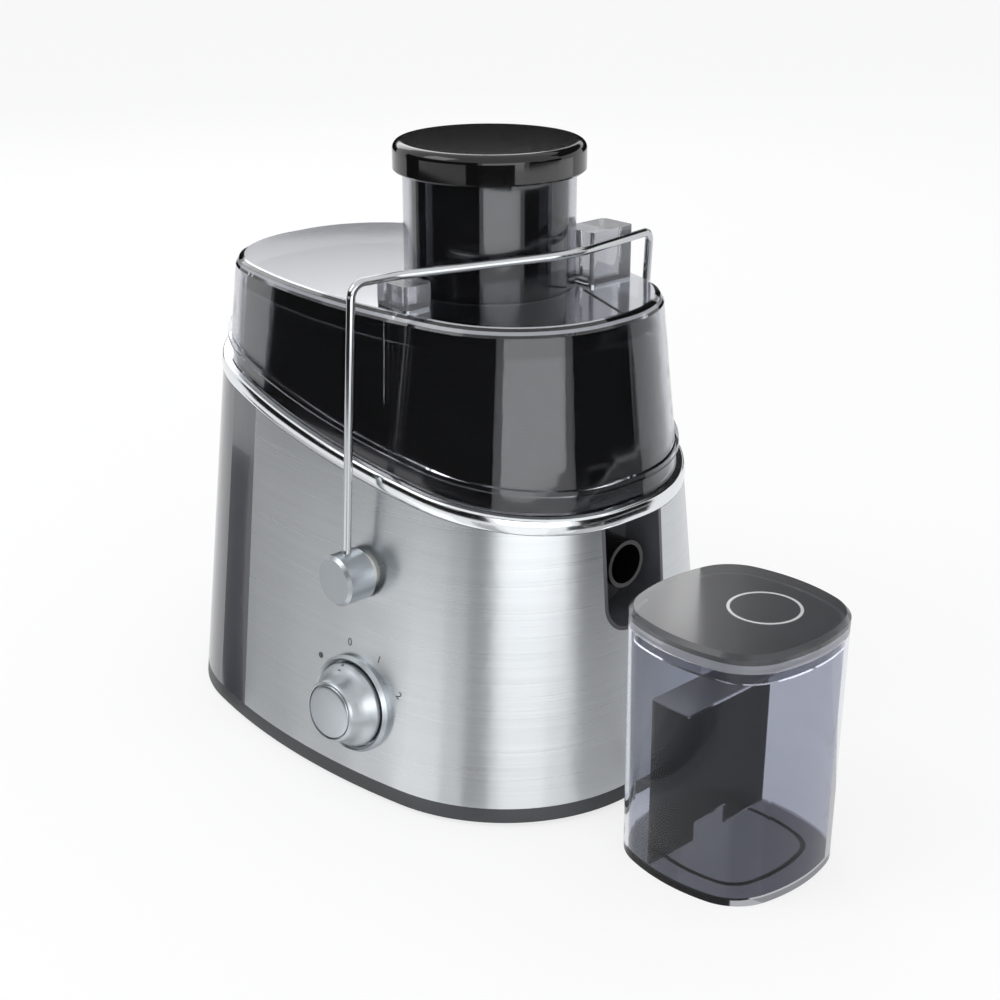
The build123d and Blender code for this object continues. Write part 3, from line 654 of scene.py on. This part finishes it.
def barBetween(start, end, across, lift, width, height):
    # flat bar from start to end; across and lift are unit vectors
    corners = []
    for spot in (start, end):
        for side, rise in ((-1, 0), (1, 0), (1, 1), (-1, 1)):
            corners.append(spot + across * (side * width * mm / 2) + lift * (rise * height * mm))
    faces = [(3, 2, 1, 0), (4, 5, 6, 7), (0, 1, 5, 4), (1, 2, 6, 5), (2, 3, 7, 6), (3, 0, 4, 7)]
    return corners, faces


# knob turned from profiles, on the panel's slant
knob = {
    "at": (41.6, -94.512, 43.9), "outward": (0.10811, -0.98838, 0.10689),
    "body": [(6.0, 0.85), (19.9, 0.85), (20.35, 1.3), (20.35, 4.6), (20.1, 5.2), (18.7, 7.1), (17.7, 8.2),
             (16.6, 10.4), (15.6, 13.0), (14.9, 15.3), (14.55, 16.1), (14.1, 16.7), (13.7, 16.95),
             (13.3, 16.8), (13.2, 16.2), (13.15, 15.9)],
    "face": [(0.4, 15.9), (12.7, 15.9), (12.95, 16.2), (12.9, 16.5), (12.6, 16.9), (12.1, 17.19),
             (11.4, 17.38), (10.4, 17.52), (8.6, 17.73), (6.4, 17.92), (4.2, 18.07), (2.0, 18.17),
             (0.4, 18.19)],
    "pointerTurn": -10, "pointer": [(20.1, 5.25), (17.75, 8.2)], "pointerWidth": 1.7, "pointerHeight": 0.25,
}
outward = Vector(knob["outward"]).normalized()
rightward = skyward.cross(outward).normalized()
upward = outward.cross(rightward)
knobPlace = placed(knob["at"], rightward, upward, outward)
knobBody = meshPiece("knobBody", stitched(turnedRings(knob["body"], knobPlace)), "knob", "satin_metal")
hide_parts("knob_body")
knobFace = meshPiece("knobFace", stitched(turnedRings(knob["face"], knobPlace)), "knob", "satin_metal")
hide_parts("knob_face")
turn = Matrix.Rotation(radians(-knob["pointerTurn"]), 4, "Z")
ends = [knobPlace @ turn @ (Vector((0, radius, height)) * mm) for radius, height in knob["pointer"]]
pointerAcross = (knobPlace @ turn).to_3x3() @ Vector((1, 0, 0))
pointerLift = pointerAcross.cross(ends[1] - ends[0]).normalized()
pointerBar = barBetween(*ends, pointerAcross, pointerLift, knob["pointerWidth"], knob["pointerHeight"])
pointer = meshPiece("knobPointer", pointerBar, "knob", "pointer_paint")
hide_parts("knob_pointer")

# printed dial marks that follow the panel's curve, a dot and three digits
dial = {
    "turns": [-57, -10, 28, 66], "words": [None, "0", "1", "2"], "radius": 29.5, "lift": 0.06, "lean": 0.6,
    "size": 5.4, "extrude": 0.03, "dot": [(1.5, 0.0), (1.5, 0.06)], "dotSteps": 32,
}


def panelSpot(x, height):
    # point of the body's front skin at a height in millimetres
    depth, arc = sizesAt(height)[1:3]
    return Vector((x, -(depth - arc + sqrt(arc ** 2 - x ** 2)), height))


for angle, word in zip(dial["turns"], dial["words"]):
    spotX = knob["at"][0] + dial["radius"] * sin(radians(angle))
    spotZ = knob["at"][2] + dial["radius"] * cos(radians(angle))
    spot = panelSpot(spotX, spotZ)
    alongX = (panelSpot(spotX + 1, spotZ) - spot).normalized()
    alongZ = (panelSpot(spotX, spotZ + 1) - spot).normalized()
    lift = alongX.cross(alongZ).normalized()
    place = placed(spot + lift * dial["lift"], alongX, lift.cross(alongX), lift)
    place = place @ Matrix.Rotation(radians(-angle * dial["lean"]), 4, "Z")
    if word is None:
        dot = stitched(turnedRings(dial["dot"], place, dial["dotSteps"]))
        meshPiece("dialDot", dot, "base", "pointer_paint", dialInkAndRecessShade)
        continue
    letters = bpy.data.curves.new("dialDigit" + word, "FONT")
    letters.body = word
    letters.size = dial["size"] * mm
    letters.align_x = "CENTER"
    letters.align_y = "CENTER"
    letters.extrude = dial["extrude"] * mm
    digit = bpy.data.objects.new("dialDigit" + word, letters)
    digit.matrix_world = place
    letters.materials.append(dialInkAndRecessShade)
    bpy.context.scene.collection.objects.link(digit)
    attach(digit, "base")
print("knob and dial done")

# trim ring with a rolled section along the slanted parting line
trim = {
    "section": [(-6.2, -0.05), (-0.6, -0.05), (0.1, -0.25), (0.55, -0.8), (0.76, -1.8), (0.8, -3.2),
                (0.78, -4.8), (0.66, -6.0), (0.35, -6.9), (-0.1, -7.4), (-6.2, -7.4)],
    "passes": 5, "sharp": 50,
}


def slantedRing(proud, rise):
    # ring proud of the body's skin, at a height above the slanted parting plane
    # the skin leans, so its plan and the plane's height are found in a few passes
    ring = []
    for index in range(len(ovalLoop(outline["waist"]))):
        level = outline["waistLevel"]
        for _ in range(trim["passes"]):
            spot, normal = ovalLoop(sizesAt(level))[index]
            spot = spot + normal * proud
            level = outline["waistLevel"] + rise - spot.x * tan(radians(outline["tilt"]))
        ring.append(toRow((spot.x, spot.y, level)))
    return ring


trimSkin = looped([slantedRing(proud, rise) for proud, rise in trim["section"]], inward=True)
trimPiece = meshPiece("trimRing", trimSkin, "base", "chrome_trim", sharp=trim["sharp"])
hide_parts("trim_ring")
print("trim done")

# mould lines of the clear lid
lidLines = {
    "skirt": [(45.3, -74.926, 190), (44.4, -73.848, 200), (43.5, -72.771, 210), (42.5, -71.705, 220),
              (41.8, -70.84, 227)],
    "top": [(75.6, 22.3, 231.0), (115.0, 5.8, 231.0)], "width": 0.7, "height": 0.25, "topWidth": 1.3,
    "sideArc": 340, "lean": 0.15,
}
for index, (low, high) in enumerate(zip(lidLines["skirt"], lidLines["skirt"][1:])):
    facing = Vector((low[0] / lidLines["sideArc"], -1, lidLines["lean"])).normalized()
    across = (Vector(high) - Vector(low)).cross(facing).normalized()
    seam = barBetween(toRow(low), toRow(high), across, facing, lidLines["width"], lidLines["height"])
    meshPiece("lidSkirtLine" + str(index), seam, "lid", "smoke_clear")
first, last = [Vector(spot) for spot in lidLines["top"]]
side = (last - first).cross(skyward).normalized()
topLine = barBetween(toRow(first), toRow(last), side, skyward, lidLines["topWidth"], lidLines["height"])
meshPiece("lidTopLine", topLine, "lid", "smoke_clear", lidSeamInk)
print("lid lines done")

# moulded bead round the jug's floor, with its section in shares of width and height
bead = {
    "half": 30.0, "side": 70.0, "corner": 15.0, "width": 2.4, "height": 0.25, "level": 3.02,
    "section": [(-0.5, 0.0), (-0.35, 0.7), (0.0, 1.0), (0.35, 0.7), (0.5, 0.0)],
}
jugLow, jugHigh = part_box("jug_body")
jugMiddle = [(low + high) / 2 for low, high in zip(jugLow, jugHigh)]
jugFloor = Vector((jugMiddle[0], jugMiddle[1], jugLow[2] + bead["level"] * mm))
beadRings = []
for inset, rise in bead["section"]:
    size = bead["half"] - inset * bead["width"]
    loop = ovalLoop((size, size, bead["side"], bead["side"], bead["corner"]))
    corners = [Vector((spot.x, spot.y, rise * bead["height"])) * mm for spot, normal in loop]
    beadRings.append([jugFloor + corner for corner in corners])
meshPiece("jugFloorBead", looped(beadRings), "jug", "smoke_clear", ownFinishes["froth_separator"])
print("jug floor bead done")

# cross recesses in the base screws, drawn as thin bars of dark ink: painted shade in the recesses
recess = {"x": 100.0, "y": 70.0, "level": 1.99, "length": 4.2, "width": 0.9, "depth": 0.04}
for sideX in (1, -1):
    for sideY in (1, -1):
        middle = Vector((recess["x"] * sideX, recess["y"] * sideY, recess["level"]))
        for along, across in (((1, 0, 0), (0, 1, 0)), ((0, 1, 0), (1, 0, 0))):
            reach = Vector(along) * recess["length"] / 2
            bar = barBetween(toRow(middle - reach), toRow(middle + reach), Vector(across), -skyward,
                             recess["width"], recess["depth"])
            # the dark ink paints the shade inside the recess
            meshPiece("screwRecess", bar, "base", "zinc_steel", dialInkAndRecessShade)
print("screw recesses done")
